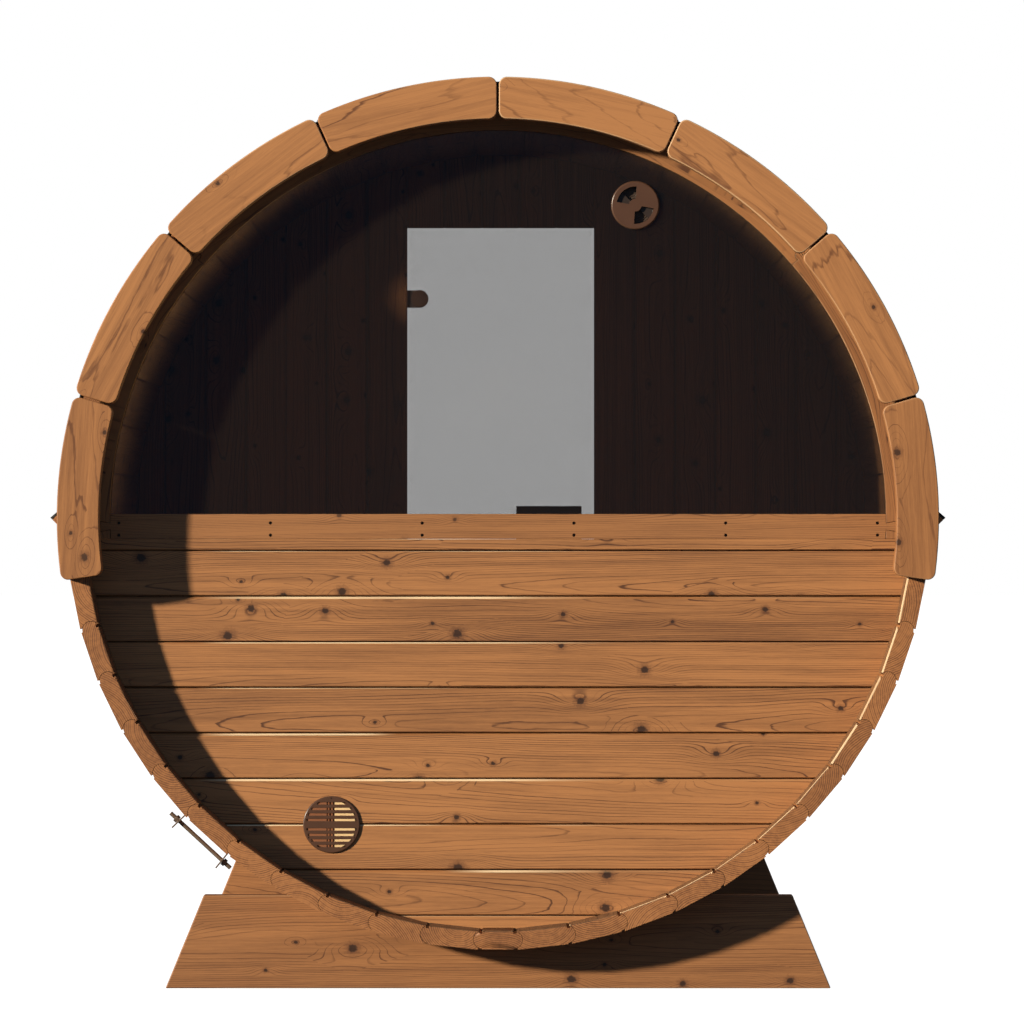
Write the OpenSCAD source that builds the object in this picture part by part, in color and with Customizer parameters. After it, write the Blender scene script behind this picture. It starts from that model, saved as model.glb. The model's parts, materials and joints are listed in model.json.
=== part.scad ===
// Barrel sauna: a round timber cabin that lies on two cradles.
// The origin is at ground level under the middle of the barrel. +Z is up, the window
// end faces -Y and the door end faces +Y. Angles round the barrel are measured from
// straight up, clockwise as seen from the window end.

/* [Barrel] */
// Height of the barrel's lowest point above the ground
ground_gap = 103; // [60:1:250]
// Length of the staves
barrel_length = 1930; // [1500:10:2500]
// Radius to the flat inner faces of the staves
inner_r = 964; // [800:1:1000]
// Thickness of the staves
stave_t = 44; // [38:1:52]
// Angle that the narrow key stave at the bottom takes
key_angle = 5.24; // [4:0.02:7]
// Staves in each of the four groups on a side
group_staves = 5; // [4:1:6]
// Flat left on each side of the bead along a stave's edge
bead_side = 1.5; // [1:0.5:6]
// Distance of the bead's centre behind the joint
bead_back = 8; // [6:0.5:12]
// Clearance between pieces that fit together
fit_gap = 0.3; // [0.2:0.05:0.5]

/* [End trim] */
// How far the trim boards reach in past the staves' inner faces
trim_lap = 35; // [15:1:60]
// How far the trim boards stand out past the staves' outer faces
trim_over = 19; // [5:1:50]
// Thickness of the trim boards
trim_t = 42; // [20:1:60]
// Angle that one trim board takes
trim_angle = 24.6; // [20:0.1:25]
// Gap between two trim boards
trim_gap = 5; // [2:0.5:10]

/* [End walls] */
// Distance from the stave ends to a wall's outer face
wall_recess = 100; // [60:1:200]
// Thickness of an end wall
wall_t = 42; // [36:1:60]
// Depth of the groove that holds a wall in the staves
groove_depth = 9; // [5:1:14]

/* [Window] */
// Top of the window rail above the barrel's axis
rail_top = 9; // [-40:1:60]
// Height of the window rail
rail_h = 59; // [40:1:90]
// Width of the window's round frame, seen inside the staves
ring_w = 51; // [35:1:80]
// Thickness of the frame in front of the glass
ring_t = 20; // [12:1:25]
// Angle of the joints in the round frame
ring_joint = 49.3; // [30:0.1:70]
// Radius of the round key in a frame joint
knob_r = 9; // [6:0.5:11]
// Thickness of the window glass
glass_t = 8; // [5:1:10]
// How far the glass reaches under its frame
glass_lap = 38; // [20:1:40]

/* [Vents] */
// Angle of the vent in the glass, clockwise from straight up
glass_vent_angle = 23.7; // [-50:0.1:50]
// Distance from the window frame's inner edge to the middle of the vent in the glass
glass_vent_inset = 109; // [90:1:300]
// Radius of the glass vent
glass_vent_r = 57; // [45:1:70]
// Angle of the wall vent, clockwise from straight up
wall_vent_angle = 208.5; // [130:0.1:230]
// Distance from the staves' inner faces to the middle of the wall vent
wall_vent_inset = 143; // [110:1:400]
// Radius of the wall vent
wall_vent_r = 67; // [50:1:80]

/* [Door] */
// Width of the doorway
door_w = 496; // [420:1:620]
// Height from the doorway's top to the staves' inner faces above it
door_head = 190; // [120:1:320]
// Height from the staves' inner faces at the bottom to the doorway's bottom
door_sill = 174; // [120:1:320]
// Gap round the door glass
door_gap = 8; // [6:0.5:12]
// Thickness of the door glass
door_t = 8; // [6:1:10]
// Distance from the doorway's top to the middle of the upper hinge
hinge_from_top = 188; // [80:1:400]
// Distance from the doorway's bottom to the middle of the lower hinge
hinge_from_bottom = 204; // [80:1:400]
// Height of a hinge
hinge_h = 46; // [36:1:70]
// Side of the square pull plates
pull_size = 173; // [100:1:200]
// Distance from the doorway's side to the middle of the pull plates
pull_inset = 120; // [100:1:200]

/* [Cradles] */
// Width of a cradle on the ground
cradle_w = 1571; // [1300:1:1900]
// Height of a cradle at its ends
cradle_h = 220; // [160:1:400]
// Thickness of a cradle board
cradle_t = 45; // [35:1:90]
// Distance from the stave ends to a cradle
cradle_recess = 150; // [120:1:400]
// Sideways lean of a cradle's ends, per unit of height
cradle_lean = 0.41; // [0:0.01:0.6]

/* [Steel bands] */
// Distance from the stave ends to the middle of a band
band_recess = 245; // [230:1:500]
// Width of a band
band_w = 30; // [20:1:50]
// Thickness of a band
band_t = 3; // [1.5:0.5:4]
// Angle of the tensioners, clockwise from straight up
tension_angle = 222.7; // [200:0.1:240]
// Angle from a tensioner's middle to each of its tabs
tab_angle = 3.7; // [3:0.1:6]
// Height of a tab
tab_h = 58; // [50:1:75]
// Radius of the tensioning rod
rod_r = 5; // [4:0.5:6]
// Length of the tensioning rod
rod_l = 194; // [180:1:260]
// Distance of the rod's middle from the staves' outer faces
rod_stand = 36; // [25:1:40]

/* [Roof] */
// Thickness of the roofing felt
felt_t = 7; // [4:0.5:9]
// How far the side battens and the felt on them stand out from the staves
batten_out = 35; // [25:1:50]

/* [Floor] */
// How far the floor lies below the doorway's bottom
floor_drop = 10; // [5:1:60]
// Thickness of the floor boards
floor_t = 26; // [18:1:40]
// Thickness of a joist
joist_t = 45; // [30:1:70]

/* [Hidden] */

$fn = 48;
BIG_FN = 240;          // facets of the circles round the barrel
PAIRS = 2;             // staves on each side of the key stave and of the top stave
GROUPS = 4;            // stave groups on a side
TRIM_COUNT = 8;        // trim boards at one end
FAR = 3000;            // longer than anything in the barrel

side_staves = 2 * PAIRS + GROUPS * group_staves;
pitch = (360 - key_angle) / (2 * side_staves + 1);
mid_r = inner_r + stave_t / 2;
outer_r = inner_r + stave_t;
axis_z = outer_r + ground_gap;
bead_r = stave_t / 2 - bead_side;
corner_r = outer_r / cos(pitch / 2);
trim_in_r = inner_r - trim_lap;
trim_out_r = outer_r + trim_over;
end_y = barrel_length / 2;
wall_r = inner_r + groove_depth;
wall_out = end_y - wall_recess;
wall_in = wall_out - wall_t;
ring_in_r = inner_r - ring_w;
rail_bottom = rail_top - rail_h;
glass_out = wall_out - ring_t;
glass_in = glass_out - glass_t;
glass_vent_at = ring_in_r - glass_vent_inset;
glass_vent_x = glass_vent_at * sin(glass_vent_angle);
glass_vent_z = glass_vent_at * cos(glass_vent_angle);
wall_vent_at = inner_r - wall_vent_inset;
wall_vent_x = wall_vent_at * sin(wall_vent_angle);
wall_vent_z = wall_vent_at * cos(wall_vent_angle);
door_top = inner_r - door_head;
door_bottom = door_sill - inner_r;
floor_top = door_bottom - floor_drop;
band_in_r = corner_r + fit_gap;
band_out_r = band_in_r + band_t;
felt_in_r = band_out_r + fit_gap;
felt_out_r = felt_in_r + felt_t;
band_y = end_y - band_recess;
rod_at_r = outer_r + rod_stand;
tab_t = 3.5;
leg_angle = 4.9;

// Extrudes a section of the barrel, drawn about its axis, from y0 to y1.
module along(y0, y1) {
    translate([0, y1, axis_z]) rotate([90, 0, 0])
        linear_extrude(height = y1 - y0) children();
}

module disc(r) { circle(r = r, $fn = BIG_FN); }

module ring(r0, r1) {
    difference() { disc(r1); disc(r0); }
}

// Everything above a height, or below it.
module above(z) { translate([-FAR, z]) square([2 * FAR, FAR]); }
module below(z) { translate([-FAR, z - FAR]) square([2 * FAR, FAR]); }

// A wedge with its point on the axis, 2 * half wide, whose sides are pulled in by inset.
module wedge(middle, half, inset = 0) {
    tip = inset / sin(half);
    rotate(-middle) polygon([
        [0, tip],
        [FAR * sin(half), tip + FAR * cos(half)],
        [-FAR * sin(half), tip + FAR * cos(half)]
    ]);
}

// ---- staves -------------------------------------------------------------------

// What a bead takes away from a stave's edge; side is 1 clockwise and -1 the other way.
module bead_room(half, side) {
    rotate(-side * half)
        translate([side * (FAR / 2 - bead_back), mid_r]) square([FAR, 3 * stave_t], center = true);
}

module bead_circle(half, side, at, r) {
    rotate(-side * half) translate([side * at, mid_r]) circle(r = r);
}

// One stave's section, upright over the axis. beads lists the sides with a bead, and
// the sides in coves are hollowed for the next stave's bead.
module stave_section(angle, beads, coves) {
    half = angle / 2;
    difference() {
        polygon([
            [-inner_r * tan(half), inner_r], [inner_r * tan(half), inner_r],
            [outer_r * tan(half), outer_r], [-outer_r * tan(half), outer_r]
        ]);
        for (side = beads) bead_room(half, side);
        for (side = coves) bead_circle(half, side, bead_back, bead_r + fit_gap);
    }
    for (side = beads) bead_circle(half, side, -bead_back, bead_r);
}

module grooves() {
    for (y = [wall_in, -wall_out])
        along(y - fit_gap, y + wall_t + fit_gap) disc(wall_r + fit_gap);
}

// Stave number k, counted up from the key stave, on the right (1) or the left (-1).
module side_stave(k, side) {
    rotate(-side * (180 - key_angle / 2 - (k - 0.5) * pitch))
        stave_section(pitch, [-side], [side]);
}

module side_group(first, count, side) {
    color("peru") difference() {
        for (k = [first : first + count - 1]) along(-end_y, end_y) side_stave(k, side);
        grooves();
    }
}

module staves_bottom() {
    color("peru") difference() {
        union() {
            along(-end_y, end_y) rotate(180) stave_section(key_angle, [-1, 1], []);
            for (side = [-1, 1], k = [1 : PAIRS]) along(-end_y, end_y) side_stave(k, side);
        }
        grooves();
    }
}

module staves_top() {
    color("peru") difference() {
        union() {
            along(-end_y, end_y) stave_section(pitch, [], [-1, 1]);
            for (side = [-1, 1], k = [0 : PAIRS - 1])
                along(-end_y, end_y) side_stave(side_staves - k, side);
        }
        grooves();
    }
}

module staves_right(group) { side_group(PAIRS + 1 + (group - 1) * group_staves, group_staves, 1); }
module staves_left(group) { side_group(PAIRS + 1 + (group - 1) * group_staves, group_staves, -1); }

// ---- end trim -----------------------------------------------------------------

// Trim board number i, counted clockwise from the left.
module trim_section(i) {
    intersection() {
        ring(trim_in_r, trim_out_r);
        wedge((i - (TRIM_COUNT + 1) / 2) * trim_angle, trim_angle / 2, trim_gap / 2);
    }
}

module window_trim(i) {
    color("sandybrown") along(-end_y - fit_gap - trim_t, -end_y - fit_gap) trim_section(i);
}

module door_trim(first) {
    color("sandybrown")
        for (i = [first : first + TRIM_COUNT / 2 - 1])
            along(end_y + fit_gap, end_y + fit_gap + trim_t) trim_section(i);
}

// ---- window end ---------------------------------------------------------------

module wall_vent_hole() {
    translate([wall_vent_x, wall_vent_z]) circle(r = wall_sleeve_r);
}

module window_wall() {
    color("peru") along(-wall_out, -wall_in) difference() {
        intersection() { disc(wall_r); below(rail_bottom - fit_gap); }
        wall_vent_hole();
    }
}

// The fan-shaped key that joins the rail to the round frame; grow widens it for its slot.
module rail_key(side, grow) {
    neck = 6 + grow;
    fan = 12 + grow;
    key_l = 23;
    translate([0, (rail_top + rail_bottom) / 2]) rotate(side > 0 ? 0 : 180) polygon([
        [ring_in_r - 8, -neck], [ring_in_r + key_l + grow, -fan],
        [ring_in_r + key_l + grow, fan], [ring_in_r - 8, neck]
    ]);
}

module window_rail() {
    color("peru") along(-wall_out, -glass_out - fit_gap) {
        intersection() {
            disc(ring_in_r - fit_gap);
            translate([-FAR, rail_bottom]) square([2 * FAR, rail_h]);
        }
        for (side = [-1, 1]) rail_key(side, 0);
    }
}

// The round key that stands on the end of a side frame piece.
module frame_knob(side, r) {
    rotate(-side * ring_joint) translate([-side * knob_r * 0.6, (ring_in_r + inner_r) / 2])
        circle(r = r);
}

module window_frame_top() {
    color("peru") along(-wall_out, -glass_out - fit_gap) difference() {
        intersection() { ring(ring_in_r, wall_r); wedge(0, ring_joint, fit_gap / 2); }
        for (side = [-1, 1]) frame_knob(side, knob_r + fit_gap);
    }
}

module window_frame_side(side) {
    color("peru") along(-wall_out, -glass_out - fit_gap) difference() {
        union() {
            intersection() {
                ring(ring_in_r, wall_r);
                above(rail_bottom);
                wedge(side * (ring_joint + 30), 30, fit_gap / 2);
            }
            frame_knob(side, knob_r);
        }
        rail_key(side, fit_gap);
    }
}

// The D-shaped space inside a line lap beyond the frame's inner edge.
module window_light(lap) {
    intersection() { disc(ring_in_r + lap); above(rail_top - lap); }
}

module window_inner_frame() {
    color("peru") difference() {
        along(-glass_out, -wall_in) difference() {
            intersection() { disc(wall_r); above(rail_bottom); }
            window_light(0);
        }
        along(-glass_out - 1, -glass_in + fit_gap) window_light(glass_lap + fit_gap);
    }
}

module glass_vent_hole(r) {
    translate([glass_vent_x, glass_vent_z]) circle(r = r);
}

module window_glass() {
    color([0.25, 0.2, 0.16, 0.5]) along(-glass_out, -glass_in) difference() {
        window_light(glass_lap);
        glass_vent_hole(vent_sleeve_r + fit_gap);
    }
}

// ---- vents --------------------------------------------------------------------

vent_sleeve_r = 50;
vent_wall = 3;
vent_plate_t = 8;
vent_flange_t = 5;
vent_slot_in = 15;
vent_slot_out = 44;
vent_slot_half = 42;
vent_pin_r = 4;
shutter_t = 3;
wall_sleeve_r = wall_vent_r - 12;

// Two opposite quarter openings, turned by an angle.
module quarter_slots(turn, half) {
    for (a = [0, 180]) intersection() {
        difference() { circle(r = vent_slot_out); circle(r = vent_slot_in); }
        wedge(a + turn, half);
    }
}

// Puts what is drawn facing +Z on the window end, facing out, with z = 0 at y.
module facing_out(x, y, z) {
    translate([x, y, axis_z + z]) rotate([90, 0, 0]) children();
}

module glass_vent() {
    back = glass_t + vent_flange_t;
    color("sienna") facing_out(glass_vent_x, -glass_out, glass_vent_z) {
        difference() {
            union() {
                translate([0, 0, fit_gap]) cylinder(r = glass_vent_r, h = vent_plate_t);
                translate([0, 0, -back]) cylinder(r = vent_sleeve_r, h = back + 1);
                translate([0, 0, -back - fit_gap]) cylinder(r = glass_vent_r, h = vent_flange_t);
            }
            translate([0, 0, -back - 1]) cylinder(r = vent_sleeve_r - vent_wall, h = back + 2);
            linear_extrude(height = 4 * back, center = true) quarter_slots(-38, vent_slot_half);
        }
        translate([0, 0, -2 * shutter_t]) cylinder(r = vent_pin_r, h = 3 * shutter_t);
    }
}

// Drawn partly open; it turns on the pin behind the plate.
module glass_vent_shutter() {
    color("saddlebrown") facing_out(glass_vent_x, -glass_out - 0.2, glass_vent_z)
        translate([0, 0, -shutter_t]) difference() {
            cylinder(r = vent_sleeve_r - vent_wall - 1, h = shutter_t);
            translate([0, 0, -1]) cylinder(r = vent_pin_r + 0.1, h = shutter_t + 2);
            linear_extrude(height = 4 * shutter_t, center = true)
                quarter_slots(-3, vent_slot_half);
        }
}

module wall_vent() {
    plate_t = 6;
    rim_w = 7;
    slot_h = 5.7;
    slot_pitch = 13;
    first_slot = 11;
    sleeve_wall = 4;
    sleeve_l = 20;
    screw_r = 1.5;
    screw_ring_r = wall_vent_r - 5;
    color("sienna") facing_out(wall_vent_x, -wall_out, wall_vent_z) difference() {
        union() {
            translate([0, 0, fit_gap]) cylinder(r = wall_vent_r, h = plate_t);
            translate([0, 0, -sleeve_l]) cylinder(r = wall_sleeve_r - fit_gap, h = sleeve_l + 1);
        }
        translate([0, 0, -sleeve_l - 1])
            cylinder(r = wall_sleeve_r - fit_gap - sleeve_wall, h = sleeve_l + 1 + fit_gap);
        for (side = [-1, 1], i = [0 : 3])
            let (z = side * (first_slot + slot_pitch * i),
                 reach = sqrt(pow(wall_vent_r - rim_w, 2) - z * z))
                translate([-reach, z - slot_h / 2, fit_gap / 2]) cube([2 * reach, slot_h, 2 * plate_t]);
        for (a = [0, 120, 240])
            rotate(a) translate([0, screw_ring_r, plate_t / 2]) cylinder(r = screw_r, h = plate_t);
    }
}

// ---- door end -----------------------------------------------------------------

module door_wall(side) {
    color("peru") along(wall_in, wall_out) intersection() {
        disc(wall_r);
        translate([side > 0 ? door_w / 2 : -FAR - door_w / 2, -FAR]) square([FAR, 2 * FAR]);
    }
}

module doorway_strip() {
    translate([-door_w / 2 + fit_gap, -FAR]) square([door_w - 2 * fit_gap, 2 * FAR]);
}

module door_wall_head() {
    color("peru") along(wall_in, wall_out)
        intersection() { disc(wall_r); above(door_top); doorway_strip(); }
}

module door_wall_sill() {
    color("peru") along(wall_in, wall_out)
        intersection() { disc(wall_r); below(door_bottom); doorway_strip(); }
}

door_out = wall_out - 5;
door_in = door_out - door_t;
strap_t = 6;
strap_y = wall_out + 6;
pin_x = -door_w / 2 - 14;
pin_y = strap_y + strap_t / 2;
pin_r = 4;
knuckle_r = 8;
knuckle_z = hinge_h / 4;
disc_x = -door_w / 2 + 33;
disc_r = hinge_h / 2;
disc_t = 7;
bolt_r = 6;
moving_gap = 5;

module at_hinges() {
    for (z = [door_bottom + hinge_from_bottom, door_top - hinge_from_top])
        translate([0, 0, axis_z + z]) children();
}

module door_glass() {
    color([0.6, 0.6, 0.58, 0.4]) difference() {
        translate([-door_w / 2 + door_gap, door_in, axis_z + door_bottom + door_gap])
            cube([door_w - 2 * door_gap, door_t, door_top - door_bottom - 2 * door_gap]);
        at_hinges() translate([disc_x, door_out + 1, 0]) rotate([90, 0, 0])
            cylinder(r = bolt_r + fit_gap, h = door_t + 2);
        for (z = [-pull_post_z, pull_post_z])
            translate([pull_x, door_out + 1, axis_z + pull_z + z]) rotate([90, 0, 0])
                cylinder(r = pull_bolt_r + fit_gap, h = door_t + 2);
    }
}

// The fixed leaves, screwed to the wall beside the doorway, with their pins.
module hinge_leaves() {
    leaf_t = 4;
    leaf_w = 40;
    leaf_h = hinge_h + 30;
    leaf_x = pin_x - knuckle_r - moving_gap;
    color("saddlebrown") at_hinges() {
        translate([leaf_x - leaf_w, wall_out + fit_gap, -leaf_h / 2]) cube([leaf_w, leaf_t, leaf_h]);
        for (z = [-leaf_h / 2, knuckle_z + fit_gap]) {
            knuckle_h = leaf_h / 2 - knuckle_z - fit_gap;
            translate([leaf_x - 1, wall_out + fit_gap, z])
                cube([pin_x - leaf_x + 1, leaf_t, knuckle_h]);
            translate([pin_x, pin_y, z]) cylinder(r = knuckle_r, h = knuckle_h);
        }
        translate([pin_x, pin_y, -leaf_h / 2]) cylinder(r = pin_r, h = leaf_h);
    }
}

// The moving straps, each with a knuckle and the discs that clamp the glass.
module hinge_clamps() {
    strap_end = pin_x + knuckle_r + moving_gap;
    color("saddlebrown") at_hinges() {
        difference() {
            union() {
                translate([pin_x, pin_y, -knuckle_z]) cylinder(r = knuckle_r, h = 2 * knuckle_z);
                translate([pin_x, strap_y, -knuckle_z])
                    cube([strap_end - pin_x + 1, strap_t, 2 * knuckle_z]);
                translate([strap_end, strap_y, -hinge_h / 2])
                    cube([disc_x - strap_end, strap_t, hinge_h]);
                translate([disc_x, strap_y + strap_t, 0]) rotate([90, 0, 0])
                    cylinder(r = disc_r, h = strap_y + strap_t - door_out - fit_gap);
            }
            translate([pin_x, pin_y, -hinge_h]) cylinder(r = pin_r + 0.06, h = 2 * hinge_h);
        }
        translate([disc_x, strap_y + 1, 0]) rotate([90, 0, 0])
            cylinder(r = bolt_r, h = strap_y + 2 - door_in);
        translate([disc_x, door_in - fit_gap, 0]) rotate([90, 0, 0])
            cylinder(r = disc_r, h = disc_t);
    }
}

pull_x = door_w / 2 - pull_inset;
pull_top = 35;
pull_z = pull_top - pull_size / 2;
pull_t = 16;
pull_stand = 24;
pull_bolt_r = 5;
pull_post_r = 9;
pull_post_z = pull_size / 2 - 26;

// Two square pull plates, one on each face of the glass, on round posts.
module door_pulls() {
    color("dimgray") translate([pull_x, 0, axis_z + pull_z]) {
        for (y = [door_in - pull_stand - pull_t, door_out + pull_stand])
            translate([-pull_size / 2, y, -pull_size / 2]) cube([pull_size, pull_t, pull_size]);
        for (z = [-pull_post_z, pull_post_z]) translate([0, 0, z]) {
            translate([0, door_out + pull_stand + 1, 0]) rotate([90, 0, 0])
                cylinder(r = pull_post_r, h = pull_stand + 1 - fit_gap);
            translate([0, door_in - fit_gap, 0]) rotate([90, 0, 0])
                cylinder(r = pull_post_r, h = pull_stand + 1 - fit_gap);
            translate([0, door_out + 5, 0]) rotate([90, 0, 0])
                cylinder(r = pull_bolt_r, h = door_t + 10);
        }
    }
}

// ---- cradles, bands and roof --------------------------------------------------

module cradle(y) {
    top_w = cradle_w - 2 * cradle_lean * cradle_h;
    color("peru") along(y, y + cradle_t) difference() {
        translate([0, -axis_z]) polygon([
            [-cradle_w / 2, 0], [cradle_w / 2, 0],
            [top_w / 2, cradle_h], [-top_w / 2, cradle_h]
        ]);
        disc(corner_r + fit_gap);
    }
}

module band_section() {
    seat = 0.1;
    difference() {
        ring(band_in_r, band_out_r);
        wedge(tension_angle, tab_angle + seat);
    }
    for (side = [-1, 1]) {
        intersection() {
            ring(band_out_r - band_t / 2, band_out_r + tab_t);
            wedge(tension_angle + side * (tab_angle + seat + leg_angle / 2), leg_angle / 2);
        }
        rotate(-tension_angle - side * tab_angle)
            translate([side > 0 ? 0 : -tab_t, band_in_r + band_t / 4]) square([tab_t, tab_h]);
    }
}

// Puts what is drawn along +X across a tensioner, at the rod's height.
module at_tensioners() {
    for (y = [-band_y, band_y]) translate([0, y, axis_z]) rotate([0, tension_angle, 0])
        translate([0, 0, rod_at_r]) rotate([0, 90, 0]) children();
}

module steel_bands() {
    color("dimgray") difference() {
        for (y = [-band_y, band_y]) along(y - band_w / 2, y + band_w / 2) band_section();
        at_tensioners() cylinder(r = rod_r + fit_gap, h = rod_l, center = true);
    }
}

module band_rods() {
    nut_r = 9.2;
    nut_h = 9;
    nut_at = rod_at_r * sin(tab_angle) + tab_t + 1;
    color("gray") at_tensioners() {
        cylinder(r = rod_r, h = rod_l, center = true);
        for (z = [-nut_at - nut_h, nut_at]) translate([0, 0, z]) cylinder(r = nut_r, h = nut_h, $fn = 6);
    }
}

// A batten stands on the staves as half a square set on its corner. What lies on its
// upper face takes cover off it.
function batten_tip(cover) = batten_out - cover / sqrt(2);

// Points drawn outwards from the staves at mid height, on the right (1) or the left (-1).
function side_points(side, points) = side > 0
    ? [for (p = points) [band_in_r + p[0], p[1]]]
    : [for (i = [len(points) - 1 : -1 : 0]) [-band_in_r - points[i][0], points[i][1]]];

module batten_section(side, cover) {
    tip = batten_tip(cover);
    polygon(side_points(side, [[0, -batten_out], [tip, tip - batten_out], [0, 2 * tip - batten_out]]));
}

// The felt's edge, turned out over the batten.
module felt_flap(side) {
    tip = batten_tip(felt_t);
    polygon(side_points(side, [
        [0, 2 * tip - batten_out], [tip, tip - batten_out], [batten_out, 0], [0, batten_out]
    ]));
}

module side_battens() {
    color("peru") difference() {
        along(-end_y, end_y) for (side = [-1, 1]) batten_section(side, felt_t + fit_gap);
        for (y = [-band_y, band_y])
            along(y - band_w / 2 - 1, y + band_w / 2 + 1) ring(corner_r - 5, band_out_r + fit_gap);
    }
}

module roof_felt() {
    color([0.16, 0.15, 0.14]) along(-end_y, end_y) difference() {
        union() {
            intersection() { disc(felt_out_r); above(batten_out - (felt_out_r - band_in_r)); }
            for (side = [-1, 1]) felt_flap(side);
        }
        disc(felt_in_r);
    }
}

// ---- floor --------------------------------------------------------------------

module floor_deck() {
    room_r = inner_r - fit_gap;
    along(-wall_in + moving_gap, wall_in - moving_gap) intersection() {
        disc(room_r);
        translate([-FAR, floor_top - floor_t]) square([2 * FAR, floor_t]);
    }
}

module floor() {
    joist_room = wall_in - 100;
    color("burlywood") {
        floor_deck();
        for (y = [-joist_room, 0, joist_room])
            along(y - joist_t / 2, y + joist_t / 2) intersection() {
                disc(inner_r - fit_gap);
                below(floor_top - floor_t - fit_gap);
            }
    }
}

staves_bottom();
staves_top();
staves_right(1);  // staves_right_1
staves_right(2);  // staves_right_2
staves_right(3);  // staves_right_3
staves_right(4);  // staves_right_4
staves_left(1);  // staves_left_1
staves_left(2);  // staves_left_2
staves_left(3);  // staves_left_3
staves_left(4);  // staves_left_4
window_trim(1);  // window_trim_1
window_trim(2);  // window_trim_2
window_trim(3);  // window_trim_3
window_trim(4);  // window_trim_4
window_trim(5);  // window_trim_5
window_trim(6);  // window_trim_6
window_trim(7);  // window_trim_7
window_trim(8);  // window_trim_8
door_trim(1);  // door_trim_left
door_trim(1 + TRIM_COUNT / 2);  // door_trim_right
window_wall();
window_rail();
window_frame_top();
window_frame_side(-1);  // window_frame_left
window_frame_side(1);  // window_frame_right
window_inner_frame();
window_glass();
glass_vent();
glass_vent_shutter();
wall_vent();
door_wall(-1);  // door_wall_left
door_wall(1);  // door_wall_right
door_wall_head();
door_wall_sill();
door_glass();
hinge_leaves();
hinge_clamps();
door_pulls();
cradle(-end_y + cradle_recess);  // window_cradle
cradle(end_y - cradle_recess - cradle_t);  // door_cradle
steel_bands();
band_rods();
side_battens();
roof_felt();
floor();
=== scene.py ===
import json
import math
import random

import bpy
import numpy as np
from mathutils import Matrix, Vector

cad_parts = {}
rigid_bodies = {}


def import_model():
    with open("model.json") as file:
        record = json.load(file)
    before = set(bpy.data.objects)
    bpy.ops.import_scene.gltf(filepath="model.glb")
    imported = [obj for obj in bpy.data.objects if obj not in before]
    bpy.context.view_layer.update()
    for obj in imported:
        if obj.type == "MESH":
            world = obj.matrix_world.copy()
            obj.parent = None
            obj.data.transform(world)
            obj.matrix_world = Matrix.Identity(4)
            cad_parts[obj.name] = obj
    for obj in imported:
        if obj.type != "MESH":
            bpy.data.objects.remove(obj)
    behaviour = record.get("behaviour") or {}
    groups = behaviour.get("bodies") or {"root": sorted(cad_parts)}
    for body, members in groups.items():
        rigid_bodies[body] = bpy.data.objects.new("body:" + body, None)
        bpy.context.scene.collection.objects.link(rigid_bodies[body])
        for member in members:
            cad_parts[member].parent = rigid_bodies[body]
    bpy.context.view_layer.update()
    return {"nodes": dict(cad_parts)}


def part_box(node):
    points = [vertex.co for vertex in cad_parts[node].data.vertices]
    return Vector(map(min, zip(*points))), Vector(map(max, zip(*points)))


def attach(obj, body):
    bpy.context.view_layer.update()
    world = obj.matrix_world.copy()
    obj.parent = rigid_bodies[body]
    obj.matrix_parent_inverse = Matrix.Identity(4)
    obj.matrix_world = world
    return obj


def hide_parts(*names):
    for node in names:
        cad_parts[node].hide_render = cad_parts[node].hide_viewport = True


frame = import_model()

# ---- Staves -----------------------------------------------------------------------------
# Fifty planed softwood staves lie edge to edge round the barrel, each with a bead along one
# edge that turns in the next one's cove. They are heat treated, so their faces, their sawn
# ends and the growth rings in them are a warm brown.

BARREL = "barrel"
TRIM_OUT = 1.027
AXIS_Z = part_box("window_trim_4")[1].z - TRIM_OUT
END_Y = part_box("staves_top")[1].y
INNER_R = 0.964
STAVE_T = 0.044
STAVE_SHAVE = 0.0005
PORCH = 0.17
REBATE_W, REBATE_DEEP = 0.0072, 0.0060
END_CHAMFER = 0.0042
GRAIN_R = 0.94
TOUCH = 0.00002
AXIS = Vector((0, 0, AXIS_Z))
ALONG_Y = Vector((0, 1, 0))
draws = random.Random(11)


def only(piece):
    """Selects one piece and nothing else."""
    if bpy.context.object and bpy.context.object.mode != "OBJECT":
        bpy.ops.object.mode_set(mode="OBJECT")
    bpy.ops.object.select_all(action="DESELECT")
    piece.select_set(True)
    bpy.context.view_layer.objects.active = piece


def edit(piece, kind="FACE"):
    """Opens a piece in edit mode with everything selected."""
    only(piece)
    bpy.ops.object.mode_set(mode="EDIT")
    bpy.ops.mesh.select_mode(type=kind)
    bpy.ops.mesh.select_all(action="SELECT")


def leave():
    """Goes back to object mode."""
    bpy.ops.object.mode_set(mode="OBJECT")


def take(node, name):
    """A copy of a CAD node, its loose triangles joined up into whole faces."""
    only(frame["nodes"][node])
    bpy.ops.object.duplicate()
    piece = bpy.context.active_object
    bpy.ops.object.parent_clear(type="CLEAR_KEEP_TRANSFORM")
    for key in list(piece.keys()):
        del piece[key]
    piece.name = piece.data.name = name
    piece.data.materials.clear()
    edit(piece)
    bpy.ops.mesh.remove_doubles(threshold=TOUCH)
    bpy.ops.mesh.dissolve_limited(angle_limit=math.radians(0.3))
    leave()
    return piece


def finish_with(piece, kind, **settings):
    """Puts a modifier on a piece and applies it."""
    only(piece)
    modifier = piece.modifiers.new(kind.title(), kind)
    for key, value in settings.items():
        setattr(modifier, key, value)
    bpy.ops.object.modifier_apply(modifier=modifier.name)


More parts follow.
